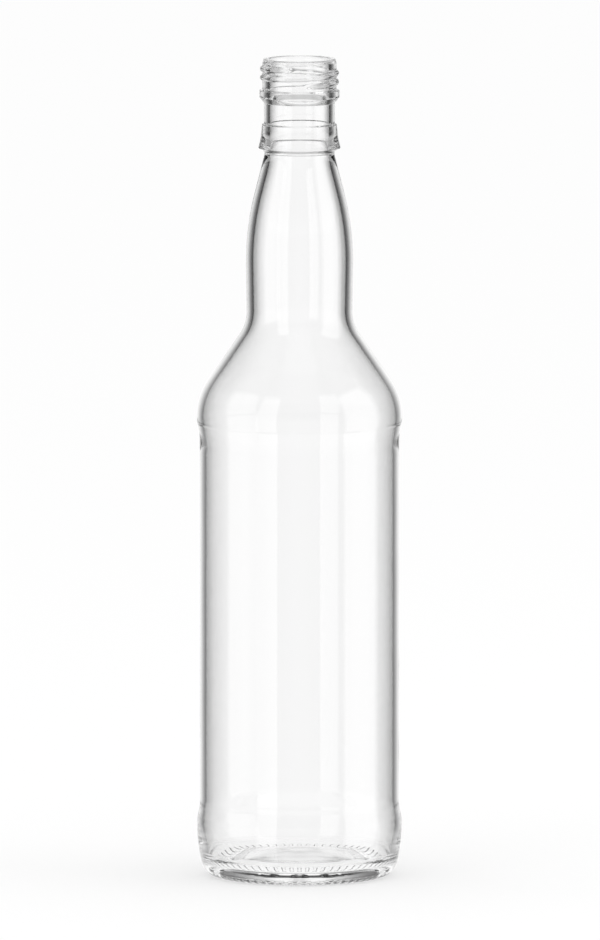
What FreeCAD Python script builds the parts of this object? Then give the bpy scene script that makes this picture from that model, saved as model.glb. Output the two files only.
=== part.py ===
"""Clear glass spirit bottle with a threaded finish: one solid of glass, open at the mouth.

Millimetres, +Z up. The origin is the centre of the bearing ring that the bottle stands on,
and the bottle's axis is Z. The whole wall is one closed section in the (radius, height)
plane, turned about Z. The screw thread is lofted round the finish and joined to it, and the
knurls are cut into the heel beside the bearing ring.
"""

import FreeCAD
import Part
import math
import os

V = FreeCAD.Vector

# ---- Overall -------------------------------------------------------------------------------
HEIGHT = 297.9                  # bearing ring to rim
BODY_DIAMETER = 74.4            # over the shoulder bead and the lower bead, the widest places

# ---- Finish: the threaded top that the closure fits, placed by its drop below the rim ------
ROOT_DIAMETER = 27.0            # of the wall that carries the thread
FINISH_WALL = 2.7               # of that wall, so the bore is 21.6 across
RIM_OUTER_ROUND = 1.7
RIM_INNER_ROUND = 0.9
THREAD_HEIGHT = 0.85            # crest above the root
THREAD_WIDTH = 2.5              # of the ridge at its seat in the wall
THREAD_SEAT = 0.15              # share of the wall that the ridge's flat back lies in
THREAD_PITCH = 3.175            # eight turns to the inch
THREAD_TURNS = 2.0              # with both run-outs
THREAD_RUNOUT = 40.0            # degrees in which each end of the ridge sinks into the wall
THREAD_END = 0.1                # share of the crest that is left at its very ends, inside the wall
THREAD_SECTIONS = 24            # to a turn
THREAD_START = -90.0            # degrees, where the lower end lies
THREAD_TOP_DROP = 2.8           # to the middle of the ridge at its upper end
BEAD_PROUD = 1.0                # locking bead under the thread, beyond the root
BEAD_DROP = 11.4                # to the top of the bead
BEAD_FACE = 2.6                 # its straight face
BEAD_CHAMFER = 2.0              # height of the cone below the face
PLAIN_NECK_RECESS = 0.6         # between the bead and the collar, inside the root
COLLAR_TOP_PROUD = 0.1
COLLAR_DROP = 23.8              # to the top of the collar
COLLAR_FLARE_PROUD = 0.5        # where its side starts to spread
COLLAR_FLARE_DROP = 28.4
COLLAR_FLARE_ROUND = 12.0
COLLAR_EDGE_PROUD = 1.45        # its sharp lower edge
COLLAR_EDGE_DROP = 32.5
EDGE_ROUND = 0.35               # on the edges of rings
LEDGE_SLOPE = 0.4               # rise of each ledge beside a ring

# ---- Neck ----------------------------------------------------------------------------------
THROAT_WALL = 1.4               # bore to where the neck's cone would meet the collar
THROAT_ROUND = 2.7              # hollow under the collar
BULGE_DIAMETER = 39.3           # widest part of the neck
BULGE_DROP = 61.8               # to where the cone and the wide part would meet
BULGE_ROUND = 100.0
NECK_FOOT_DIAMETER = 38.2       # slight waist above the shoulder
NECK_FOOT_DROP = 96.4           # to where the neck and the shoulder's flank would meet
NECK_FOOT_ROUND = 15.0

# ---- Shoulder, label panel and heel --------------------------------------------------------
SHOULDER_ANGLE = 34.4           # degrees of the flank from the vertical
SHOULDER_ROUND = 25.0
SHOULDER_BEAD_FACE = 1.5        # straight part under the shoulder's round
SHOULDER_BEAD_ROUND = 0.4
SHOULDER_BEAD_LIP = 0.25        # depth of the steeper edge under it
SHOULDER_BEAD_LIP_HEIGHT = 0.8
PANEL_DEPTH = 1.0               # label panel below the two beads
PANEL_TOP_STEP = 5.0            # height of the step under the shoulder bead
PANEL_TOP_ROUND = 8.0
PANEL_FOOT_STEP = 5.0           # height of the gentler slope out to the lower bead
PANEL_FOOT_ROUND = 8.0
LOWER_BEAD_TOP = 21.0           # height where that slope reaches the full diameter
TAPER_TOP = 13.2                # height where the side turns in towards the heel
TAPER_ANGLE = 10.5              # degrees from the vertical
TAPER_ROUND = 60.0
HEEL_ROUND = 6.5

# ---- Base ----------------------------------------------------------------------------------
BEARING_WIDTH = 4.35            # of the flat ring that the bottle stands on
BEARING_INNER_ROUND = 1.2
PUSH_UP_RISE = 3.6              # of the underside at the centre
PUSH_UP_SHOULDER_RISE = 2.6     # of the underside where its steep side ends
PUSH_UP_SIDE = 5.0              # width of that side
PUSH_UP_SHOULDER_ROUND = 6.0
PUSH_UP_FLAT_DIAMETER = 16.0
PUSH_UP_FLAT_ROUND = 60.0
KNURL_COUNT = 64
KNURL_WIDTH = 1.5
KNURL_DEPTH = 0.35
KNURL_RISE = 40.0               # degrees of the heel's round that each notch runs up
KNURL_LAND = 1.2                # flat ring left whole inside the knurls

# ---- Glass wall ----------------------------------------------------------------------------
WALL_NECK = 2.6
WALL_SHOULDER = 2.5
WALL_BODY = 2.3
WALL_HEEL = 2.9
BASE_CENTRE = 4.4               # thickness over the push-up
FLOOR_EDGE = 4.1                # height of the floor beside the heel
FLOOR_EDGE_ROUND = 6.0
BORE_FOOT_ROUND = 25.0          # where the bore opens into the neck
STEP_SPREAD = 1.2               # how much further the inside steps reach along the panel
STEP_ROUND = 12.0

# ---- Derived sizes -------------------------------------------------------------------------
body_radius = BODY_DIAMETER / 2
panel_radius = body_radius - PANEL_DEPTH
root_radius = ROOT_DIAMETER / 2
bore_radius = root_radius - FINISH_WALL
neck_foot_radius = NECK_FOOT_DIAMETER / 2

flank = math.radians(SHOULDER_ANGLE)
taper = math.radians(TAPER_ANGLE)
neck_foot_z = HEIGHT - NECK_FOOT_DROP
shoulder_z = neck_foot_z - (body_radius - neck_foot_radius) / math.tan(flank)
shoulder_bead_z = shoulder_z - SHOULDER_ROUND * math.tan(flank / 2) - SHOULDER_BEAD_FACE
panel_top_z = shoulder_bead_z - PANEL_TOP_STEP
panel_foot_z = LOWER_BEAD_TOP + PANEL_FOOT_STEP
lip_radius = body_radius - SHOULDER_BEAD_LIP
heel_radius = body_radius - TAPER_TOP * math.tan(taper)
heel_foot_radius = heel_radius - HEEL_ROUND * math.tan((math.pi / 2 - taper) / 2)
bearing_inner_radius = heel_foot_radius - BEARING_WIDTH


def underside():
    """Corners (radius, height, round) of the push-up, from the axis to the bearing ring."""
    return [
        (0.0, PUSH_UP_RISE, 0.0),
        (PUSH_UP_FLAT_DIAMETER / 2, PUSH_UP_RISE, PUSH_UP_FLAT_ROUND),
        (bearing_inner_radius - PUSH_UP_SIDE, PUSH_UP_SHOULDER_RISE, PUSH_UP_SHOULDER_ROUND),
        (bearing_inner_radius, 0.0, BEARING_INNER_ROUND),
    ]


def body_outside():
    """Corners of the heel, lower bead, label panel, shoulder and neck, going up."""
    return [
        (heel_radius, 0.0, HEEL_ROUND),
        (body_radius, TAPER_TOP, TAPER_ROUND),
        (body_radius, LOWER_BEAD_TOP, PANEL_FOOT_ROUND),
        (panel_radius, panel_foot_z, PANEL_FOOT_ROUND),
        (panel_radius, panel_top_z, PANEL_TOP_ROUND),
        (lip_radius, shoulder_bead_z - SHOULDER_BEAD_LIP_HEIGHT, SHOULDER_BEAD_ROUND),
        (body_radius, shoulder_bead_z, SHOULDER_BEAD_ROUND),
        (body_radius, shoulder_z, SHOULDER_ROUND),
        (neck_foot_radius, neck_foot_z, NECK_FOOT_ROUND),
        (BULGE_DIAMETER / 2, HEIGHT - BULGE_DROP, BULGE_ROUND),
        (bore_radius + THROAT_WALL, HEIGHT - COLLAR_EDGE_DROP - LEDGE_SLOPE, THROAT_ROUND),
    ]


def finish_outside():
    """Corners of the collar, plain neck, locking bead and the wall behind the thread, up to the rim."""
    neck = root_radius - PLAIN_NECK_RECESS
    bead = root_radius + BEAD_PROUD
    bead_z = HEIGHT - BEAD_DROP
    collar_z = HEIGHT - COLLAR_DROP
    return [
        (root_radius + COLLAR_EDGE_PROUD, HEIGHT - COLLAR_EDGE_DROP, EDGE_ROUND),
        (root_radius + COLLAR_FLARE_PROUD, HEIGHT - COLLAR_FLARE_DROP, COLLAR_FLARE_ROUND),
        (root_radius + COLLAR_TOP_PROUD, collar_z, EDGE_ROUND),
        (neck, collar_z + LEDGE_SLOPE, EDGE_ROUND),
        (neck, bead_z - BEAD_FACE - BEAD_CHAMFER, EDGE_ROUND),
        (bead, bead_z - BEAD_FACE, EDGE_ROUND),
        (bead, bead_z, EDGE_ROUND),
        (root_radius, bead_z + LEDGE_SLOPE, EDGE_ROUND),
        (root_radius, HEIGHT, RIM_OUTER_ROUND),
    ]


def inset(before, corner, after, wall_before, wall_after):
    """The corner of the inside wall that lies behind an outside corner, between two wall thicknesses.

    Each side of the outside corner is moved inwards by its own wall, and the moved sides meet
    in the new corner. Its round shares its centre with the outside's.
    """
    sides = []
    for start, end, wall in ((before, corner, wall_before), (corner, after, wall_after)):
        dr, dz = end[0] - start[0], end[1] - start[1]
        length = math.hypot(dr, dz)
        sides.append((dr / length, dz / length, wall))
    (ar, az, aw), (br, bz, bw) = sides
    turn = ar * bz - az * br
    radius = corner[0] + (br * aw - ar * bw) / turn
    height = corner[1] + (bz * aw - az * bw) / turn
    thickness = (aw + bw) / 2
    inner_round = corner[2] - thickness if turn > 0 else corner[2] + thickness
    return (radius, height, inner_round)


def inside():
    """Corners of the inside wall, from the rim down the bore to the floor's centre."""
    outer = body_outside()
    heel, taper_top, lower_bead = outer[0], outer[1], outer[2]
    shoulder_bead, shoulder, neck_foot, bulge, throat = outer[6:11]
    inner_bulge = inset(neck_foot, bulge, throat, WALL_NECK, WALL_NECK)
    inner_foot = inset(shoulder, neck_foot, bulge, WALL_SHOULDER, WALL_NECK)
    inner_shoulder = inset(shoulder_bead, shoulder, neck_foot, WALL_BODY, WALL_SHOULDER)
    inner_taper = inset(heel, taper_top, lower_bead, WALL_HEEL, WALL_BODY)
    cone_slope = (bulge[0] - throat[0]) / (throat[1] - bulge[1])
    bore_foot_z = inner_bulge[1] + (inner_bulge[0] - bore_radius) / cone_slope
    floor_edge_radius = heel_radius + FLOOR_EDGE * math.tan(taper) - WALL_HEEL / math.cos(taper)
    floor_z = PUSH_UP_RISE + BASE_CENTRE
    return [
        (bore_radius, HEIGHT, RIM_INNER_ROUND),
        (bore_radius, bore_foot_z, BORE_FOOT_ROUND),
        inner_bulge,
        inner_foot,
        inner_shoulder,
        (body_radius - WALL_BODY, shoulder_bead_z, STEP_ROUND),
        (panel_radius - WALL_BODY, panel_top_z - STEP_SPREAD, STEP_ROUND),
        (panel_radius - WALL_BODY, panel_foot_z + STEP_SPREAD, STEP_ROUND),
        (body_radius - WALL_BODY, LOWER_BEAD_TOP, STEP_ROUND),
        inner_taper,
        (floor_edge_radius, FLOOR_EDGE, FLOOR_EDGE_ROUND),
        (PUSH_UP_FLAT_DIAMETER / 2, floor_z, PUSH_UP_FLAT_ROUND),
        (0.0, floor_z, 0.0),
    ]


def rounded_path(corners):
    """Edges through the corners in the XZ plane, each round an arc tangent to both of its sides.

    The first and last corners are the ends of the path, so their rounds aren't used. Where the
    rounds at the two ends of a side would overlap on it, both are reduced until they just fit.
    """
    points = [V(radius, 0, height) for radius, height, _ in corners]
    turns = [math.inf]
    for before, corner, after in zip(points, points[1:], points[2:]):
        turns.append(math.tan((before - corner).getAngle(after - corner) / 2))
    turns.append(math.inf)
    cuts = [size / turn for (_, _, size), turn in zip(corners, turns)]
    sides = [start.distanceToPoint(end) for start, end in zip(points, points[1:])]
    room = [side / max(near + far, side) for side, near, far in zip(sides, cuts, cuts[1:])]
    edges = []
    start = points[0]
    for i in range(1, len(points) - 1):
        corner = points[i]
        cut = cuts[i] * min(room[i - 1], room[i])
        back = (points[i - 1] - corner).normalize()
        ahead = (points[i + 1] - corner).normalize()
        half = math.atan(turns[i])
        reach = cut / math.cos(half) - cut * math.tan(half)
        arc_start, arc_end = corner + back * cut, corner + ahead * cut
        middle = corner + (back + ahead).normalize() * reach
        if start.distanceToPoint(arc_start) > 1e-6:
            edges.append(Part.LineSegment(start, arc_start).toShape())
        edges.append(Part.Arc(arc_start, middle, arc_end).toShape())
        start = arc_end
    edges.append(Part.LineSegment(start, points[-1]).toShape())
    return edges


def glass_wall():
    """The whole wall without thread and knurls, turned from its section."""
    corners = underside() + body_outside() + finish_outside() + inside()
    edges = rounded_path(corners)
    edges.append(Part.LineSegment(V(0, 0, corners[-1][1]), V(0, 0, corners[0][1])).toShape())
    section = Part.Face(Part.Wire(edges))
    return section.revolve(V(0, 0, 0), V(0, 0, 1), 360)


def thread_section(turned, height):
    """Section of the ridge, after a turn in degrees from the thread's lower end.

    A flat back lies inside the wall, and a round crest stands over it. In the run-outs the
    crest sinks smoothly until it is just over the back, below the wall's surface.
    """
    back = root_radius - THREAD_SEAT * FINISH_WALL
    runout = min(turned, 360 * THREAD_TURNS - turned, THREAD_RUNOUT) / THREAD_RUNOUT
    share = THREAD_END + (1 - THREAD_END) * runout ** 2 * (3 - 2 * runout)
    crest = back + (root_radius + THREAD_HEIGHT - back) * share
    angle = math.radians(THREAD_START + turned)
    outward = V(math.cos(angle), math.sin(angle), 0)
    low = outward * back + V(0, 0, height - THREAD_WIDTH / 2)
    high = outward * back + V(0, 0, height + THREAD_WIDTH / 2)
    arc = Part.Arc(low, outward * crest + V(0, 0, height), high).toShape()
    return Part.Wire([arc, Part.LineSegment(high, low).toShape()])


def thread():
    """Right-hand ridge, lofted through sections that climb round the finish."""
    turn = 360 * THREAD_TURNS
    steps = round(THREAD_TURNS * THREAD_SECTIONS)
    top = HEIGHT - THREAD_TOP_DROP
    sections = []
    for i in range(steps + 1):
        turned = turn * i / steps
        sections.append(thread_section(turned, top - THREAD_PITCH * (turn - turned) / 360))
    return Part.makeLoft(sections, True, False)


def knurls():
    """Round-ended notches in the bearing ring, outside its plain part, that run up the heel.

    Each is cut by a rod that lies along the ring and bends up round the heel. The rod's own
    radius follows from the notch's width and depth.
    """
    size = (KNURL_WIDTH ** 2 / 4 + KNURL_DEPTH ** 2) / (2 * KNURL_DEPTH)
    height = KNURL_DEPTH - size
    near = bearing_inner_radius + KNURL_LAND + KNURL_WIDTH / 2
    heel_centre = V(heel_foot_radius, 0, HEEL_ROUND)
    bend = HEEL_ROUND - height
    rise = math.radians(KNURL_RISE)
    disc = Part.Face(Part.Wire(Part.makeCircle(size, heel_centre - V(0, 0, bend), V(1, 0, 0))))
    notch = disc.extrude(V(near - heel_foot_radius, 0, 0)).fuse([
        disc.revolve(heel_centre, V(0, -1, 0), KNURL_RISE),
        Part.makeSphere(size, V(near, 0, height)),
        Part.makeSphere(size, heel_centre + V(math.sin(rise), 0, -math.cos(rise)) * bend),
    ])
    notches = []
    for i in range(KNURL_COUNT):
        turned = notch.copy()
        turned.rotate(V(0, 0, 0), V(0, 0, 1), 360 * i / KNURL_COUNT)
        notches.append(turned)
    return notches


def bottle():
    """The glass bottle."""
    glass = glass_wall().fuse(thread())
    return glass.cut(knurls())


os.makedirs("parts", exist_ok=True)
bottle().Solids[0].exportStep("parts/bottle.step")
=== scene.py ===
"""An empty clear glass spirit bottle with a threaded finish, standing on a white table."""

import bpy
import numpy as np
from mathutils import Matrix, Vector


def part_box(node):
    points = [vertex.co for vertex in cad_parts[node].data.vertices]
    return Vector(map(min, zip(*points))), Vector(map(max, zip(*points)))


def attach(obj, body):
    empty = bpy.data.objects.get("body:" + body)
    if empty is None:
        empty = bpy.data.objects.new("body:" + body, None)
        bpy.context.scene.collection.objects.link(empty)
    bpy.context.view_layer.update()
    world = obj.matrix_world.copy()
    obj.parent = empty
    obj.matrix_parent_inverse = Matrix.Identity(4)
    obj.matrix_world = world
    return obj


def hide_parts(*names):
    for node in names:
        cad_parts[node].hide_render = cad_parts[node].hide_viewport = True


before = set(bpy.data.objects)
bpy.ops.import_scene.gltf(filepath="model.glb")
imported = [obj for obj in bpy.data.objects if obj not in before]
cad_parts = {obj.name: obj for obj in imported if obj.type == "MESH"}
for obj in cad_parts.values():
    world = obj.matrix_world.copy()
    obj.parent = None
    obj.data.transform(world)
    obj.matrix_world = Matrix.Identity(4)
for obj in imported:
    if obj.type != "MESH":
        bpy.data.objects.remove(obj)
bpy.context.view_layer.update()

MM = 0.001

# ---- Sizes of the bottle, mm: the overall ones come from the CAD part -----------------------
part_high = np.array(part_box("bottle")[1]) / MM
HEIGHT = part_high[2]
BODY_RADIUS = part_high[0]

# Finish
ROOT_RADIUS = 13.5              # outside of the finish wall behind the thread
FINISH_WALL = 2.7
RIM_OUTER_ROUND = 1.7
RIM_INNER_ROUND = 0.9
THREAD_HEIGHT = 0.85
THREAD_WIDTH = 2.5              # at its seat
THREAD_SEAT = 0.15              # depth of the seat in the wall, as a share of it
THREAD_PITCH = 3.175
THREAD_TURNS = 2.0
THREAD_RUNOUT = 40.0            # degrees over which each end sinks
THREAD_END = 0.1                # share of the crest over its seat that is left at the tips
THREAD_START = -90.0            # direction of the lower end, degrees
THREAD_TOP_DROP = 2.8           # rim down to the middle of the upper end
THREAD_FOOT = 0.11              # softness of the hollow along both feet of the ridge
BEAD_PROUD = 1.0                # locking bead
BEAD_DROP = 11.4
BEAD_FACE = 2.6
BEAD_CHAMFER = 2.0
PLAIN_NECK_RECESS = 0.6
COLLAR_TOP_PROUD = 0.1
COLLAR_DROP = 23.8
COLLAR_FLARE_PROUD = 0.5
COLLAR_FLARE_DROP = 28.4
COLLAR_FLARE_ROUND = 12.0
COLLAR_EDGE_PROUD = 1.45
COLLAR_EDGE_DROP = 32.5
EDGE_ROUND = 0.35
LEDGE_SLOPE = 0.4

# Neck and shoulder
THROAT_WALL = 1.4
THROAT_ROUND = 2.7
BULGE_RADIUS = 19.65
BULGE_DROP = 61.8
BULGE_ROUND = 100.0
NECK_FOOT_RADIUS = 19.1
NECK_FOOT_DROP = 96.4
NECK_FOOT_ROUND = 15.0
SHOULDER_ANGLE = np.radians(34.4)
SHOULDER_ROUND = 25.0
SHOULDER_BEAD_FACE = 1.5
SHOULDER_BEAD_ROUND = 0.4
SHOULDER_BEAD_LIP = 0.25        # depth of the steeper edge under it
SHOULDER_BEAD_LIP_HEIGHT = 0.8

# Body and heel
PANEL_DEPTH = 1.0
PANEL_TOP_STEP = 5.0
PANEL_TOP_ROUND = 25.0          # softer than the foot's, so that the step traps less light
PANEL_FOOT_STEP = 5.0
PANEL_FOOT_ROUND = 8.0
LOWER_BEAD_TOP = 21.0
TAPER_TOP = 13.2
TAPER_ANGLE = np.radians(10.5)
TAPER_ROUND = 60.0
HEEL_ROUND = 6.5

# Base
BEARING_WIDTH = 4.35
BEARING_INNER_ROUND = 1.2
PUSH_UP_RISE = 3.6
PUSH_UP_SHOULDER_RISE = 2.6
PUSH_UP_SIDE = 5.0
PUSH_UP_SHOULDER_ROUND = 6.0
PUSH_UP_FLAT_RADIUS = 8.0
PUSH_UP_FLAT_ROUND = 60.0
KNURL_COUNT = 64
KNURL_WIDTH = 1.5
KNURL_DEPTH = 0.35
KNURL_RISE = np.radians(40)     # part of the heel's round that each notch runs up
KNURL_LAND = 1.2                # plain ring inside the knurls

# Glass thickness
WALL_NECK = 2.6
WALL_SHOULDER = 2.5
WALL_BODY = 2.3
WALL_HEEL = 2.9
BASE_CENTRE = 4.4
FLOOR_EDGE = 4.1
FLOOR_EDGE_ROUND = 6.0
BORE_FOOT_ROUND = 25.0
STEP_SPREAD = 1.2               # how far the inside's steps run past the outside's
STEP_ROUND = 12.0
INNER_TOP_ROUND = 60.0          # behind the top of the panel, soft for the same reason

# Derived
PANEL_RADIUS = BODY_RADIUS - PANEL_DEPTH
BORE_RADIUS = ROOT_RADIUS - FINISH_WALL
NECK_FOOT_Z = HEIGHT - NECK_FOOT_DROP
SHOULDER_Z = NECK_FOOT_Z - (BODY_RADIUS - NECK_FOOT_RADIUS) / np.tan(SHOULDER_ANGLE)
SHOULDER_BEAD_Z = SHOULDER_Z - SHOULDER_ROUND * np.tan(SHOULDER_ANGLE / 2) - SHOULDER_BEAD_FACE
PANEL_TOP_Z = SHOULDER_BEAD_Z - PANEL_TOP_STEP
PANEL_FOOT_Z = LOWER_BEAD_TOP + PANEL_FOOT_STEP
LIP_RADIUS = BODY_RADIUS - SHOULDER_BEAD_LIP
HEEL_RADIUS = BODY_RADIUS - TAPER_TOP * np.tan(TAPER_ANGLE)
HEEL_FOOT_RADIUS = HEEL_RADIUS - HEEL_ROUND * np.tan((np.pi / 2 - TAPER_ANGLE) / 2)
BEARING_INNER_RADIUS = HEEL_FOOT_RADIUS - BEARING_WIDTH

# ---- Fineness of the mesh ------------------------------------------------------------------
COLUMNS = 288                   # points round a ring
KNURL_COLUMNS = 2 * COLUMNS     # points round a ring on the bearing ring
ARC_STEP = np.radians(14)       # greatest turn between two rows
ARC_SAG = 0.012                 # greatest distance between an arc and its chords, mm
SPACING = 9.0                   # greatest distance between two rows, mm
THREAD_SPACING = 0.25           # the same, on the thread
KNURL_SPACING = 0.40            # and on the bearing ring
SLOPE_STEP = 0.02               # a relief's slope is taken over this distance each way, mm
TOLERANCE = 1e-6                # lengths below this count as nothing, mm


# ---- Section of the wall -------------------------------------------------------------------
def outside_corners():
    """Corners (radius, height, round, row spacing of the side that follows), axis to rim.

    They go under the push-up, over the bearing ring and up the outside.
    """
    neck = ROOT_RADIUS - PLAIN_NECK_RECESS
    bead = ROOT_RADIUS + BEAD_PROUD
    bead_z = HEIGHT - BEAD_DROP
    collar_z = HEIGHT - COLLAR_DROP
    push_up_shoulder = BEARING_INNER_RADIUS - PUSH_UP_SIDE
    return [
        (0.0, PUSH_UP_RISE, 0.0, SPACING),
        (PUSH_UP_FLAT_RADIUS, PUSH_UP_RISE, PUSH_UP_FLAT_ROUND, SPACING),
        (push_up_shoulder, PUSH_UP_SHOULDER_RISE, PUSH_UP_SHOULDER_ROUND, SPACING),
        (BEARING_INNER_RADIUS, 0.0, BEARING_INNER_ROUND, KNURL_SPACING),
        (HEEL_RADIUS, 0.0, HEEL_ROUND, SPACING),
        (BODY_RADIUS, TAPER_TOP, TAPER_ROUND, SPACING),
        (BODY_RADIUS, LOWER_BEAD_TOP, PANEL_FOOT_ROUND, SPACING),
        (PANEL_RADIUS, PANEL_FOOT_Z, PANEL_FOOT_ROUND, SPACING),
        (PANEL_RADIUS, PANEL_TOP_Z, PANEL_TOP_ROUND, SPACING),
        (LIP_RADIUS, SHOULDER_BEAD_Z - SHOULDER_BEAD_LIP_HEIGHT, SHOULDER_BEAD_ROUND, SPACING),
        (BODY_RADIUS, SHOULDER_BEAD_Z, SHOULDER_BEAD_ROUND, SPACING),
        (BODY_RADIUS, SHOULDER_Z, SHOULDER_ROUND, SPACING),
        (NECK_FOOT_RADIUS, NECK_FOOT_Z, NECK_FOOT_ROUND, SPACING),
        (BULGE_RADIUS, HEIGHT - BULGE_DROP, BULGE_ROUND, SPACING),
        (BORE_RADIUS + THROAT_WALL, HEIGHT - COLLAR_EDGE_DROP - LEDGE_SLOPE, THROAT_ROUND, SPACING),
        (ROOT_RADIUS + COLLAR_EDGE_PROUD, HEIGHT - COLLAR_EDGE_DROP, EDGE_ROUND, SPACING),
        (ROOT_RADIUS + COLLAR_FLARE_PROUD, HEIGHT - COLLAR_FLARE_DROP, COLLAR_FLARE_ROUND, SPACING),
        (ROOT_RADIUS + COLLAR_TOP_PROUD, collar_z, EDGE_ROUND, SPACING),
        (neck, collar_z + LEDGE_SLOPE, EDGE_ROUND, SPACING),
        (neck, bead_z - BEAD_FACE - BEAD_CHAMFER, EDGE_ROUND, SPACING),
        (bead, bead_z - BEAD_FACE, EDGE_ROUND, SPACING),
        (bead, bead_z, EDGE_ROUND, SPACING),
        (ROOT_RADIUS, bead_z + LEDGE_SLOPE, EDGE_ROUND, THREAD_SPACING),
        (ROOT_RADIUS, HEIGHT, RIM_OUTER_ROUND, SPACING),
    ]


def inset(before, corner, after, wall_before, wall_after):
    """The inside corner behind an outside corner, between two wall thicknesses.

    Side a is moved inwards by its wall p and side b by its wall q. With a x b the sine of the
    turn, they meet at corner + (b p - a q) / (a x b), and the round keeps the outside's centre.
    """
    before, corner, after = (np.array(item) for item in (before, corner, after))
    a, b = (corner - before)[:2], (after - corner)[:2]
    a, b = a / np.hypot(*a), b / np.hypot(*b)
    turn = a[0] * b[1] - a[1] * b[0]
    radius, height = corner[:2] + (b * wall_before - a * wall_after) / turn
    round_size = corner[2] - np.sign(turn) * (wall_before + wall_after) / 2
    return (radius, height, round_size, SPACING)


def inside_corners(outer):
    """Corners of the inside wall, from the rim down the bore to the middle of the floor."""
    heel, taper_top, lower_bead = outer[4:7]
    shoulder_bead, shoulder, neck_foot, bulge, throat = outer[10:15]
    inner_bulge = inset(neck_foot, bulge, throat, WALL_NECK, WALL_NECK)
    cone_slope = (bulge[0] - throat[0]) / (throat[1] - bulge[1])
    bore_foot_z = inner_bulge[1] + (inner_bulge[0] - BORE_RADIUS) / cone_slope
    floor_edge = HEEL_RADIUS + FLOOR_EDGE * np.tan(TAPER_ANGLE) - WALL_HEEL / np.cos(TAPER_ANGLE)
    floor_z = PUSH_UP_RISE + BASE_CENTRE
    return [
        (BORE_RADIUS, HEIGHT, RIM_INNER_ROUND, SPACING),
        (BORE_RADIUS, bore_foot_z, BORE_FOOT_ROUND, SPACING),
        inner_bulge,
        inset(shoulder, neck_foot, bulge, WALL_SHOULDER, WALL_NECK),
        inset(shoulder_bead, shoulder, neck_foot, WALL_BODY, WALL_SHOULDER),
        (BODY_RADIUS - WALL_BODY, SHOULDER_BEAD_Z, STEP_ROUND, SPACING),
        (PANEL_RADIUS - WALL_BODY, PANEL_TOP_Z - STEP_SPREAD, INNER_TOP_ROUND, SPACING),
        (PANEL_RADIUS - WALL_BODY, PANEL_FOOT_Z + STEP_SPREAD, STEP_ROUND, SPACING),
        (BODY_RADIUS - WALL_BODY, LOWER_BEAD_TOP, STEP_ROUND, SPACING),
        inset(heel, taper_top, lower_bead, WALL_HEEL, WALL_BODY),
        (floor_edge, FLOOR_EDGE, FLOOR_EDGE_ROUND, SPACING),
        (PUSH_UP_FLAT_RADIUS, floor_z, PUSH_UP_FLAT_ROUND, SPACING),
        (0.0, floor_z, 0.0, SPACING),
    ]


def rounded_path(corners):
    """Radius, height and outward normal of the rows along a path with round corners.

    A round R at a corner that turns by t cuts R tan(t/2) off both of its sides; where two cuts
    don't fit on a side, both shrink until they do. The path is then a chain of stretches,
    straight and curved by turns. A stretch of length L that starts in the direction h and turns
    by t is at u L sinc(u t / 2) (cos, sin)(h + u t / 2) from its start, after a share u of it.
    """
    corner = np.array(corners)
    side = np.diff(corner[:, :2], axis=0)
    length = np.hypot(*side.T)
    heading = np.arctan2(side[:, 1], side[:, 0])
    turn = np.mod(np.diff(heading) + np.pi, 2 * np.pi) - np.pi
    cut = np.concatenate([[0], corner[1:-1, 2] * np.tan(abs(turn) / 2), [0]])
    room = length / np.maximum(cut[:-1] + cut[1:], length)
    cut[1:-1] *= np.minimum(room[:-1], room[1:])

    count = 2 * len(length) - 1
    stretch_length, stretch_turn, stretch_heading = np.zeros((3, count))
    stretch_length[0::2] = length - cut[:-1] - cut[1:]
    stretch_length[1::2] = cut[1:-1] / np.tan(abs(turn) / 2) * abs(turn)
    stretch_turn[1::2] = turn
    stretch_heading[0::2] = heading
    stretch_heading[1::2] = heading[:-1]
    spacing = np.repeat(corner[:-1, 3], 2)[:-1]

    def travel(share, length, turn, heading):
        """Offset from the start of a stretch."""
        half = share * turn / 2
        reach = share * length * np.sinc(half / np.pi)
        return np.stack([reach * np.cos(heading + half), reach * np.sin(heading + half)], -1)

    whole = travel(1.0, stretch_length, stretch_turn, stretch_heading)
    start = corner[0, :2] + np.concatenate([[[0, 0]], np.cumsum(whole, axis=0)])[:-1]
    steps = np.max([
        stretch_length / spacing,
        abs(stretch_turn) / ARC_STEP,
        np.sqrt(stretch_length * abs(stretch_turn) / (8 * ARC_SAG)),
    ], axis=0)
    steps = np.ceil(steps - TOLERANCE).astype(int) * (stretch_length > TOLERANCE)
    stretch = np.repeat(np.arange(count), steps)
    share = (np.arange(len(stretch)) - np.repeat(np.cumsum(steps) - steps, steps)) / steps[stretch]
    length, turn, heading = stretch_length[stretch], stretch_turn[stretch], stretch_heading[stretch]
    point = start[stretch] + travel(share, length, turn, heading)
    direction = heading + share * turn
    normal = np.stack([np.sin(direction), -np.cos(direction)], -1)
    last_normal = [np.sin(heading[-1]), -np.cos(heading[-1])]
    return np.vstack([point, corner[-1, :2]]), np.vstack([normal, last_normal])


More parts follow.
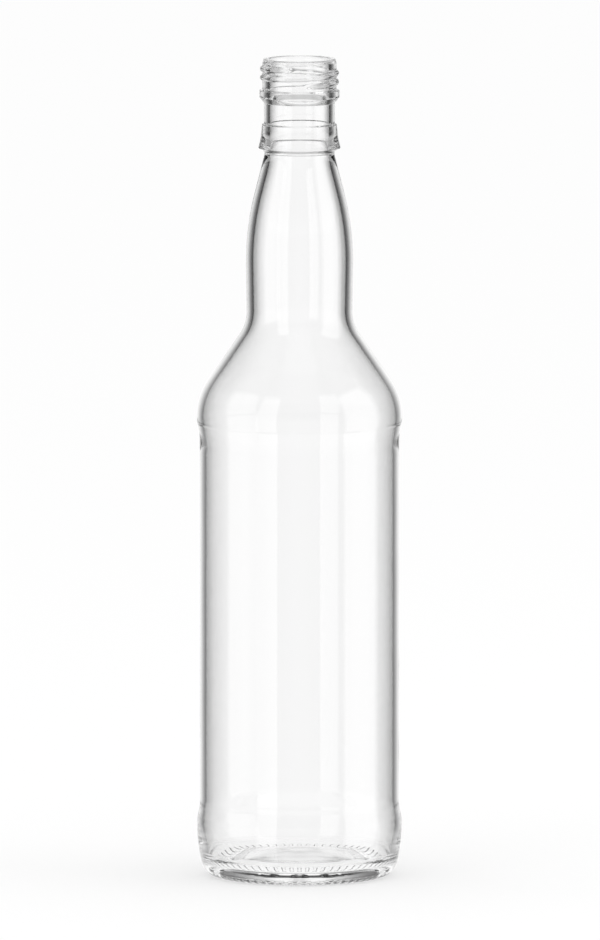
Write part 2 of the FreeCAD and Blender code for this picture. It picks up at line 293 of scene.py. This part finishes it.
# ---- Relief on the wall --------------------------------------------------------------------
def thread_ridge(angle, height):
    """How far the thread stands out from the finish wall at an angle and a height, mm.

    The middle line climbs one pitch per turn. Across it the section is an arc on a seat of half
    width w: with the crest s over the seat, R = (w^2 + s^2) / 2s, and at a distance d from the
    middle it stands s - R + sqrt(R^2 - d^2) over the seat. In the run-outs s sinks smoothly to
    the share left at the tips, which is below the wall. The highest turn counts.
    """
    seat = THREAD_SEAT * FINISH_WALL
    half_width = THREAD_WIDTH / 2
    full_turn = 2 * np.pi
    total = THREAD_TURNS * full_turn
    upper = HEIGHT - THREAD_TOP_DROP
    first = np.mod(angle - np.radians(THREAD_START), full_turn)
    ridge = np.full(np.broadcast(angle, height).shape, -seat)
    for turn in range(int(np.ceil(THREAD_TURNS))):
        turned = first + turn * full_turn
        runout = np.clip(np.minimum(turned, total - turned) / np.radians(THREAD_RUNOUT), 0, 1)
        share = THREAD_END + (1 - THREAD_END) * runout ** 2 * (3 - 2 * runout)
        crest = (seat + THREAD_HEIGHT) * share
        middle = upper - THREAD_PITCH * (total - turned) / full_turn
        radius = (half_width ** 2 + crest ** 2) / (2 * crest)
        across = np.minimum(abs(height - middle), radius)
        ridge = np.maximum(ridge, crest - radius + np.sqrt(radius ** 2 - across ** 2) - seat)
    return ridge


def add_thread(angle, radius, height, normal):
    """Radius and normal of the finish wall with the thread on it.

    The two surfaces are joined by the soft maximum r + k ln(1 + exp((ridge - r) / k)), whose
    slope is a mix of theirs by the weight 1 / (1 + exp((r - ridge) / k)).
    """
    over = (ROOT_RADIUS + thread_ridge(angle, height) - radius) / THREAD_FOOT
    weight = 1 / (1 + np.exp(-over))
    turn = SLOPE_STEP / radius
    climb = thread_ridge(angle, height + SLOPE_STEP) - thread_ridge(angle, height - SLOPE_STEP)
    around = thread_ridge(angle + turn, height) - thread_ridge(angle - turn, height)
    slope_up, slope_round = climb / (2 * SLOPE_STEP), around / (2 * SLOPE_STEP)
    c, s = np.cos(angle), np.sin(angle)
    ridge_normal = np.stack([c + s * slope_round, s - c * slope_round, -slope_up], -1)
    mixed = normal + weight[:, None] * (ridge_normal - normal)
    mixed /= np.linalg.norm(mixed, axis=1, keepdims=True)
    return radius + THREAD_FOOT * np.log1p(np.exp(over)), mixed


def knurl_depth(angle, radius, along):
    """How deep the notches are at an angle, a radius and a distance along the section, mm.

    A rod of radius s = (w^2 / 4 + d^2) / 2d cuts each notch, w wide and d deep. It runs from
    near to far along the bearing ring and the heel, s - d outside them. At a distance q from it,
    measured along the surface, the notch is sqrt(s^2 - q^2) - s + d deep.
    """
    size = (KNURL_WIDTH ** 2 / 4 + KNURL_DEPTH ** 2) / (2 * KNURL_DEPTH)
    near = KNURL_LAND + KNURL_WIDTH / 2
    far = BEARING_WIDTH + HEEL_ROUND * KNURL_RISE
    period = 2 * np.pi / KNURL_COUNT
    across = radius * np.sin(angle - np.round(angle / period) * period)
    square = size ** 2 - across ** 2 - (along - np.clip(along, near, far)) ** 2
    return np.maximum(np.sqrt(np.maximum(square, 0)) - size + KNURL_DEPTH, 0)


def add_knurls(angle, radius, height, along, outward, up):
    """Radius, height and normal of the bearing ring and the heel with the notches in them.

    Each point moves inwards along the normal (outward, up) by the depth, and the normal tilts
    by the depth's slope along the section and round the ring.
    """
    before, after = along - SLOPE_STEP, along + SLOPE_STEP
    climb = knurl_depth(angle, radius, after) - knurl_depth(angle, radius, before)
    turn = SLOPE_STEP / radius
    around = knurl_depth(angle + turn, radius, along) - knurl_depth(angle - turn, radius, along)
    slope, slope_round = climb / (2 * SLOPE_STEP), around / (2 * SLOPE_STEP)
    c, s = np.cos(angle), np.sin(angle)
    side, rise = outward - slope * up, up + slope * outward
    normal = np.stack([side * c - slope_round * s, side * s + slope_round * c, rise], -1)
    normal /= np.linalg.norm(normal, axis=1, keepdims=True)
    depth = knurl_depth(angle, radius, along)
    return radius - depth * outward, height - depth * up, normal


# ---- Mesh ----------------------------------------------------------------------------------
def doubling_faces(coarse, fine, n):
    """Triangles from a ring of n points to one of twice as many, given both first points."""
    here = np.arange(n)
    following, halfway, double = (here + 1) % n, 2 * here + 1, (2 * here + 2) % (2 * n)
    return [
        np.stack([coarse + here, fine + halfway, fine + 2 * here], -1),
        np.stack([coarse + here, coarse + following, fine + halfway], -1),
        np.stack([coarse + following, fine + double, fine + halfway], -1),
    ]


def ring_faces(count):
    """Faces between neighbouring rings of count[i] points, rings stored one after another.

    Rings of equal count are joined by quads, a ring of twice the count by three triangles for
    each point of the other, with their corners reversed where the count halves, and a pole, which
    is a ring of one point, by a fan.
    """
    start = np.cumsum(count) - count
    quads, triangles = [], []
    for n in np.unique(count[count > 1]):
        here = np.arange(n)
        following = (here + 1) % n
        even = np.flatnonzero((count[:-1] == n) & (count[1:] == n))
        low, high = start[even][:, None], start[even + 1][:, None]
        quads.append(np.stack([low + here, low + following, high + following, high + here], -1))
        for ring in np.flatnonzero((count[:-1] == n) & (count[1:] == 2 * n)):
            triangles += doubling_faces(start[ring], start[ring + 1], n)
        for ring in np.flatnonzero((count[:-1] == 2 * n) & (count[1:] == n)):
            halving = doubling_faces(start[ring + 1], start[ring], n)
            triangles += [corners[:, ::-1] for corners in halving]
    here = np.arange(count[1])
    following = (here + 1) % count[1]
    first, last = start[1], start[-2]
    triangles.append(np.stack([0 * here, first + following, first + here], -1))
    triangles.append(np.stack([last + here, last + following, 0 * here + start[-1]], -1))
    return np.vstack([q.reshape(-1, 4) for q in quads]), np.vstack(triangles)


def bottle_mesh():
    """The bottle as one closed surface: the section turned, with thread and knurls on it."""
    outer = outside_corners()
    row, row_normal = rounded_path(outer + inside_corners(outer))
    rim = int(np.argmax(row[:, 1] > HEIGHT - TOLERANCE))
    index = np.arange(len(row))
    along = np.concatenate([[0], np.cumsum(np.hypot(*np.diff(row, axis=0).T))])
    standing = int(np.argmin(row[:rim, 1]))
    along += row[standing, 0] - BEARING_INNER_RADIUS - along[standing]
    knurl_end = BEARING_WIDTH + HEEL_ROUND * KNURL_RISE + KNURL_WIDTH
    knurled = (index < rim) & (along > KNURL_LAND / 2) & (along < knurl_end)
    count = np.where(knurled, KNURL_COLUMNS, COLUMNS)
    count[[0, -1]] = 1

    ring = np.repeat(index, count)
    angle = (np.arange(len(ring)) - np.repeat(np.cumsum(count) - count, count)) / count[ring]
    angle = 2 * np.pi * angle
    radius, height = row[ring].T
    c, s = np.cos(angle), np.sin(angle)
    outward, up = row_normal[ring].T
    normal = np.stack([outward * c, outward * s, up], -1)

    base = knurled[ring]
    radius[base], height[base], normal[base] = add_knurls(
        angle[base], radius[base], height[base], along[ring][base], outward[base], up[base])
    finish = (ring < rim) & (height > HEIGHT - BEAD_DROP + LEDGE_SLOPE / 2)
    radius[finish], normal[finish] = add_thread(
        angle[finish], radius[finish], height[finish], normal[finish])

    quads, triangles = ring_faces(count)
    mesh = bpy.data.meshes.new("glass_bottle")
    points = np.stack([radius * np.cos(angle), radius * np.sin(angle), height], -1) * MM
    mesh.from_pydata(points.tolist(), [], quads.tolist() + triangles.tolist())
    mesh.polygons.foreach_set("use_smooth", np.ones(len(mesh.polygons), bool))
    mesh.normals_split_custom_set_from_vertices(normal.tolist())
    mesh.validate()
    return mesh


# ---- Materials -----------------------------------------------------------------------------
GLASS_IOR = 1.52
WAVE_SIZE = 0.012               # of the faint waves in the surface, m
WAVE_DRAW = 0.45                # below 1, they are drawn out upwards
WAVE_DEPTH = 0.00002            # m


def link(tree, source, target):
    """Joins a node's output socket to an input socket."""
    tree.links.new(source, target)


def math_node(tree, operation, first, second):
    """A maths node; each operand is a socket or a number."""
    node = tree.nodes.new("ShaderNodeMath")
    node.operation = operation
    for socket, value in zip(node.inputs, (first, second)):
        if isinstance(value, (int, float)):
            socket.default_value = value
        else:
            link(tree, value, socket)
    return node.outputs[0]


def map_range(tree, value, start, end, low=0.0, high=1.0):
    """A number that goes from low to high as the value goes from start to end, then stays."""
    node = tree.nodes.new("ShaderNodeMapRange")
    limits = {"From Min": start, "From Max": end, "To Min": low, "To Max": high}
    for name, number in limits.items():
        node.inputs[name].default_value = number
    link(tree, value, node.inputs["Value"])
    return node.outputs["Result"]


def moulded_surface():
    """Node group for blown glass: the faint waves that the mould and the draw leave."""
    group = bpy.data.node_groups.new("moulded_surface", "ShaderNodeTree")
    for name, kind in (("Wave Size", "NodeSocketFloat"), ("Draw", "NodeSocketFloat")):
        group.interface.new_socket(name, in_out="INPUT", socket_type=kind)
    group.interface.new_socket("Height", in_out="OUTPUT", socket_type="NodeSocketFloat")
    given = group.nodes.new("NodeGroupInput")
    result = group.nodes.new("NodeGroupOutput")
    place = group.nodes.new("ShaderNodeTexCoord")
    stretch = group.nodes.new("ShaderNodeVectorMath")
    stretch.operation = "MULTIPLY"
    across = group.nodes.new("ShaderNodeCombineXYZ")
    across.inputs["X"].default_value = 1.0
    across.inputs["Y"].default_value = 1.0
    link(group, given.outputs["Draw"], across.inputs["Z"])
    link(group, place.outputs["Object"], stretch.inputs[0])
    link(group, across.outputs[0], stretch.inputs[1])
    wave = group.nodes.new("ShaderNodeTexNoise")
    wave.inputs["Detail"].default_value = 1.0
    link(group, stretch.outputs[0], wave.inputs["Vector"])
    waves_per_metre = math_node(group, "DIVIDE", 1.0, given.outputs["Wave Size"])
    link(group, waves_per_metre, wave.inputs["Scale"])
    link(group, wave.outputs["Fac"], result.inputs["Height"])
    return group


def clear_glass():
    """Colourless soda-lime glass, with very faint waves."""
    material = bpy.data.materials.new("clear_glass")
    material.use_nodes = True
    tree = material.node_tree
    shader = tree.nodes["Principled BSDF"]
    shader.inputs["Base Color"].default_value = (1.0, 1.0, 1.0, 1.0)
    shader.inputs["Metallic"].default_value = 0.0
    shader.inputs["Roughness"].default_value = 0.0
    shader.inputs["IOR"].default_value = GLASS_IOR
    shader.inputs["Transmission Weight"].default_value = 1.0
    surface = tree.nodes.new("ShaderNodeGroup")
    surface.node_tree = moulded_surface()
    surface.inputs["Wave Size"].default_value = WAVE_SIZE
    surface.inputs["Draw"].default_value = WAVE_DRAW
    bump = tree.nodes.new("ShaderNodeBump")
    bump.inputs["Strength"].default_value = 1.0
    bump.inputs["Distance"].default_value = WAVE_DEPTH
    link(tree, surface.outputs["Height"], bump.inputs["Height"])
    link(tree, bump.outputs["Normal"], shader.inputs["Normal"])
    return material


# ---- Studio --------------------------------------------------------------------------------
# Degrees from the middle of the white backdrop, seen from the bottle, and the tone there
STUDIO_TONES = [
    (180, 0.55), (152, 0.50), (132, 0.32), (110, 0.48), (84, 0.46), (62, 0.05), (50, 0.03),
    (42, 0.10), (34, 0.20), (28, 0.34), (18, 0.65), (9, 1.0),
]
BACKDROP_TOP = 0.12             # sine of the elevation up to which the room has these tones
BACKDROP_FADE = 0.15            # the fade above that
TONE_ABOVE = 0.65               # share of them that is left above the fade
LEAST_SQUARE = 1e-8             # of the level part of a direction, so that straight up has a tone
TABLE_TOP = -0.23               # sine of the elevation below which the white table mixes in
TABLE_TOP_FADE = 0.05           # the fade below that
TABLE_SHARE = 0.38              # how much of the table shows there, over the room's tones
AMBIENT = 0.98                  # level at which the room lights pale things
TABLE_HALF = 8.0                # half a side of the table, m
TABLE_WHITE = 0.97
TABLE_ROUGHNESS = 0.9
TABLE_NEAR = 0.042              # radius out to which the glass shows the table itself, m
TABLE_FADE = 0.008              # the fade outside that, m
TABLE_GLOW = 0.6                # share of the table's white that its shadows don't darken
TABLE_GLOW_IN_GLASS = 0.92      # the same, as the glass shows it
SOFTBOX_DISTANCE = 1.2          # m
SOFTBOX_LOW = -0.6              # heights of a softbox's edges, m
SOFTBOX_HIGH = 1.3
SOFTBOX_BRIGHTNESS = 0.85
CAMERA_DISTANCE = 10.0          # m
CAMERA_ELEVATION = np.radians(6.5)
CAMERA_AIM = (0.0002, 0.0, 0.1480)
CAMERA_REACH = 50.0             # farthest distance that it sees, m
SEEN_HEIGHT = 0.3409            # height of the view where the bottle stands, m
SENSOR_SIZE = 36.0              # along the view's longer side, mm
LIGHT_BOUNCES = 32              # enough for light that is led along inside the base


def new_object(name, data):
    """An object with the given data, put in the scene."""
    item = bpy.data.objects.new(name, data)
    bpy.context.collection.objects.link(item)
    return item


def ray_kinds(tree):
    """Two masks: 1 for camera rays, and 1 for rays in a reflection or through glass."""
    path = tree.nodes.new("ShaderNodeLightPath")
    glossy, through = path.outputs["Is Glossy Ray"], path.outputs["Is Transmission Ray"]
    return path.outputs["Is Camera Ray"], math_node(tree, "MAXIMUM", glossy, through)


def mix_colour(tree, factor, first, second):
    """Mixes two colours; each is a socket or a grey level."""
    node = tree.nodes.new("ShaderNodeMix")
    node.data_type = "RGBA"
    link(tree, factor, node.inputs["Factor"])
    for name, value in (("A", first), ("B", second)):
        if isinstance(value, float):
            node.inputs[name].default_value = (value, value, value, 1.0)
        else:
            link(tree, value, node.inputs[name])
    return node.outputs["Result"]


def room_tone(tree, x, y):
    """Tone of the studio in the direction (x, y).

    The cosine of its angle from the backdrop is y / sqrt(x^2 + y^2), and the tones lie along a
    ramp at half of one plus that.
    """
    x_square, y_square = math_node(tree, "MULTIPLY", x, x), math_node(tree, "MULTIPLY", y, y)
    square = math_node(tree, "MAXIMUM", math_node(tree, "ADD", x_square, y_square), LEAST_SQUARE)
    cosine = math_node(tree, "DIVIDE", y, math_node(tree, "POWER", square, 0.5))
    position = math_node(tree, "MULTIPLY", math_node(tree, "ADD", cosine, 1.0), 0.5)
    tone = tree.nodes.new("ShaderNodeValToRGB")
    link(tree, position, tone.inputs["Fac"])
    stops = [(0.5 + 0.5 * np.cos(np.radians(angle)), value) for angle, value in STUDIO_TONES]
    ramp = tone.color_ramp
    while len(ramp.elements) < len(stops):
        ramp.elements.new(0.5)
    for element, (where, value) in zip(ramp.elements, stops):
        element.position = where
        element.color = (value, value, value, 1.0)
    return tone.outputs["Color"]


def studio_world():
    """White straight behind the bottle, darker round it and above, as round a lit backdrop.

    Well below the level, a share of the white table is mixed over the tones. The glass shows
    the result. The camera sees white everywhere, and rays that only light things see the plain
    ambient level.
    """
    world = bpy.data.worlds.new("studio")
    bpy.context.scene.world = world
    world.use_nodes = True
    tree = world.node_tree
    place = tree.nodes.new("ShaderNodeTexCoord")
    parts = tree.nodes.new("ShaderNodeSeparateXYZ")
    link(tree, place.outputs["Generated"], parts.inputs[0])
    x, y, z = parts.outputs
    above = map_range(tree, z, BACKDROP_TOP, BACKDROP_TOP + BACKDROP_FADE, 1.0, TONE_ABOVE)
    below = map_range(tree, z, TABLE_TOP, TABLE_TOP - TABLE_TOP_FADE, 0.0, TABLE_SHARE)
    room = mix_colour(tree, above, 0.0, room_tone(tree, x, y))
    room = mix_colour(tree, below, room, TABLE_GLOW_IN_GLASS)
    camera_ray, in_glass = ray_kinds(tree)
    shown = mix_colour(tree, in_glass, AMBIENT, room)
    final = mix_colour(tree, camera_ray, shown, 1.0)
    link(tree, final, tree.nodes["Background"].inputs["Color"])


def white_table():
    """Plain white table with the bottle's shadow; the glass shows only the part near the bottle."""
    mesh = bpy.data.meshes.new("table")
    corners = np.array([(-1, -1, 0), (1, -1, 0), (1, 1, 0), (-1, 1, 0)]) * TABLE_HALF
    mesh.from_pydata(corners.tolist(), [], [(0, 1, 2, 3)])
    table = new_object("table", mesh)
    material = bpy.data.materials.new("white_table")
    material.use_nodes = True
    tree = material.node_tree
    shader = tree.nodes["Principled BSDF"]
    shader.inputs["Base Color"].default_value = (TABLE_WHITE, TABLE_WHITE, TABLE_WHITE, 1.0)
    shader.inputs["Roughness"].default_value = TABLE_ROUGHNESS
    shader.inputs["Specular IOR Level"].default_value = 0.0
    camera_ray, in_glass = ray_kinds(tree)
    glow = tree.nodes.new("ShaderNodeEmission")
    lit = tree.nodes.new("ShaderNodeMixShader")
    seen = math_node(tree, "MULTIPLY", camera_ray, TABLE_GLOW)
    seen_in_glass = math_node(tree, "MULTIPLY", in_glass, TABLE_GLOW_IN_GLASS)
    link(tree, math_node(tree, "MAXIMUM", seen, seen_in_glass), lit.inputs["Fac"])
    link(tree, shader.outputs["BSDF"], lit.inputs[1])
    link(tree, glow.outputs["Emission"], lit.inputs[2])

    place = tree.nodes.new("ShaderNodeTexCoord")
    distance = tree.nodes.new("ShaderNodeVectorMath")
    distance.operation = "LENGTH"
    link(tree, place.outputs["Object"], distance.inputs[0])
    far = map_range(tree, distance.outputs["Value"], TABLE_NEAR, TABLE_NEAR + TABLE_FADE)
    open_room = tree.nodes.new("ShaderNodeBsdfTransparent")
    final = tree.nodes.new("ShaderNodeMixShader")
    link(tree, math_node(tree, "MULTIPLY", in_glass, far), final.inputs["Fac"])
    link(tree, lit.outputs[0], final.inputs[1])
    link(tree, open_room.outputs[0], final.inputs[2])
    link(tree, final.outputs[0], tree.nodes["Material Output"].inputs["Surface"])
    mesh.materials.append(material)


def softbox(name, azimuth, half_angle):
    """Upright rectangular lamp that faces the bottle.

    The azimuth, in degrees, is measured from the camera's side, positive to the right. The lamp
    covers half_angle, in degrees, to each side of it, as seen from the bottle. Its power is its
    brightness times pi times its area.
    """
    angle = np.radians(azimuth)
    width = 2 * SOFTBOX_DISTANCE * np.tan(np.radians(half_angle))
    height = SOFTBOX_HIGH - SOFTBOX_LOW
    lamp = bpy.data.lights.new(name, "AREA")
    lamp.shape = "RECTANGLE"
    lamp.size = width
    lamp.size_y = height
    lamp.energy = SOFTBOX_BRIGHTNESS * np.pi * width * height
    holder = new_object(name, lamp)
    holder.location = (
        SOFTBOX_DISTANCE * np.sin(angle), -SOFTBOX_DISTANCE * np.cos(angle),
        (SOFTBOX_LOW + SOFTBOX_HIGH) / 2)
    holder.rotation_euler = (np.pi / 2, 0.0, angle)


def camera():
    """Long lens straight in front, a little above the bottle and tilted down at it."""
    lens = bpy.data.cameras.new("camera")
    lens.sensor_width = SENSOR_SIZE
    lens.lens = SENSOR_SIZE * CAMERA_DISTANCE / SEEN_HEIGHT
    lens.clip_end = CAMERA_REACH
    back = CAMERA_DISTANCE * np.cos(CAMERA_ELEVATION)
    up = CAMERA_DISTANCE * np.sin(CAMERA_ELEVATION)
    holder = new_object("camera", lens)
    holder.location = (CAMERA_AIM[0], CAMERA_AIM[1] - back, CAMERA_AIM[2] + up)
    holder.rotation_euler = (np.pi / 2 - CAMERA_ELEVATION, 0.0, 0.0)
    bpy.context.scene.camera = holder


# ---- The bottle and its setting ------------------------------------------------------------
bottle = new_object("glass_bottle", bottle_mesh())
bottle.data.materials.append(clear_glass())
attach(bottle, "root")
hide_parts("bottle")

studio_world()
white_table()
softbox("softbox_left", azimuth=-38, half_angle=12)
softbox("softbox_right", azimuth=78, half_angle=24)
camera()
scene = bpy.context.scene
scene.view_settings.view_transform = "Standard"
scene.cycles.max_bounces = LIGHT_BOUNCES
scene.cycles.transmission_bounces = LIGHT_BOUNCES
scene.cycles.glossy_bounces = LIGHT_BOUNCES
